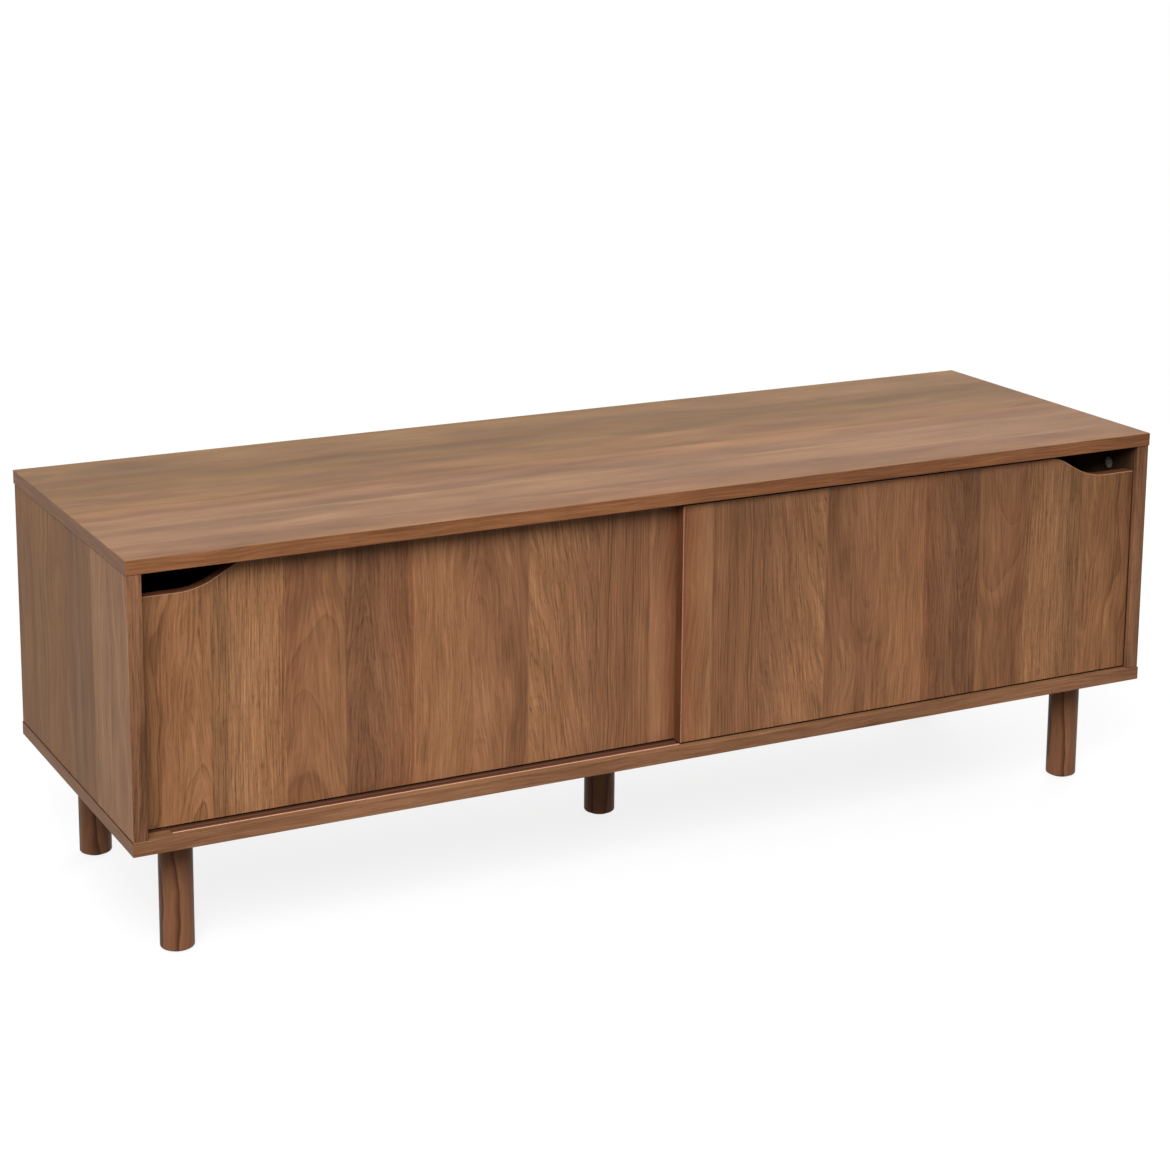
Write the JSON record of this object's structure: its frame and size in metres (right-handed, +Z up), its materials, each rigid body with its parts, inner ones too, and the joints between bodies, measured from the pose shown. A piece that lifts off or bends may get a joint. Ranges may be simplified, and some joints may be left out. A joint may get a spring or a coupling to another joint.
{
  "type": "media cabinet",
  "caption": "Low media cabinet: a walnut-effect box on round legs, with flat sliding doors that have notch handles at the outer top corners.",
  "frame": {"origin": "on the floor, under the middle of the top board", "axes": "+X along the width to the right of someone who faces the doors, -Y out of the front, +Z up"},
  "size_m": [1.4, 0.45, 0.485],
  "materials": {
    "walnut_board": "satin walnut-effect foil with vertical or lengthwise grain",
    "walnut_door": "satin walnut-effect foil in vertical staves",
    "walnut_leg": "satin stained solid wood",
    "back_panel": "printed hardboard",
    "track_plastic": "matte brown",
    "glide_plastic": "matte dark brown",
    "clear_rubber": "milky",
    "zinc_steel": "zinc plated",
    "beech": "plain beech",
    "felt": "pressed felt"
  },
  "bodies": {
    "cabinet": {"top_board": "walnut_board", "bottom_board": "walnut_board", "left_side_board": "walnut_board", "right_side_board": "walnut_board", "middle_board": "walnut_board", "left_back_panel": "back_panel", "right_back_panel": "back_panel", "back_screws": "zinc_steel", "left_shelf": "walnut_board", "right_shelf": "walnut_board", "shelf_pins": "zinc_steel", "front_lower_track": "track_plastic", "rear_lower_track": "track_plastic", "front_upper_track": "track_plastic", "rear_upper_track": "track_plastic", "door_bumpers": "clear_rubber", "cam_locks": "zinc_steel", "cam_bolts": "zinc_steel", "dowels": "beech", "front_left_leg": "walnut_leg", "front_right_leg": "walnut_leg", "back_left_leg": "walnut_leg", "back_right_leg": "walnut_leg", "middle_leg": "walnut_leg", "leg_rods": "zinc_steel", "leg_sockets": "zinc_steel", "foot_pads": "felt"},
    "left_door": {"left_door_panel": "walnut_door", "left_door_glides": "glide_plastic", "left_door_guides": "glide_plastic"},
    "right_door": {"right_door_panel": "walnut_door", "right_door_glides": "glide_plastic", "right_door_guides": "glide_plastic"}
  },
  "joints": [
    {"name": "left_door_slide", "type": "slide", "parent": "cabinet", "child": "left_door", "axis": [1, 0, 0], "range_m": [0, 0.6775]},
    {"name": "right_door_slide", "type": "slide", "parent": "cabinet", "child": "right_door", "axis": [-1, 0, 0], "range_m": [0, 0.6775]}
  ]
}
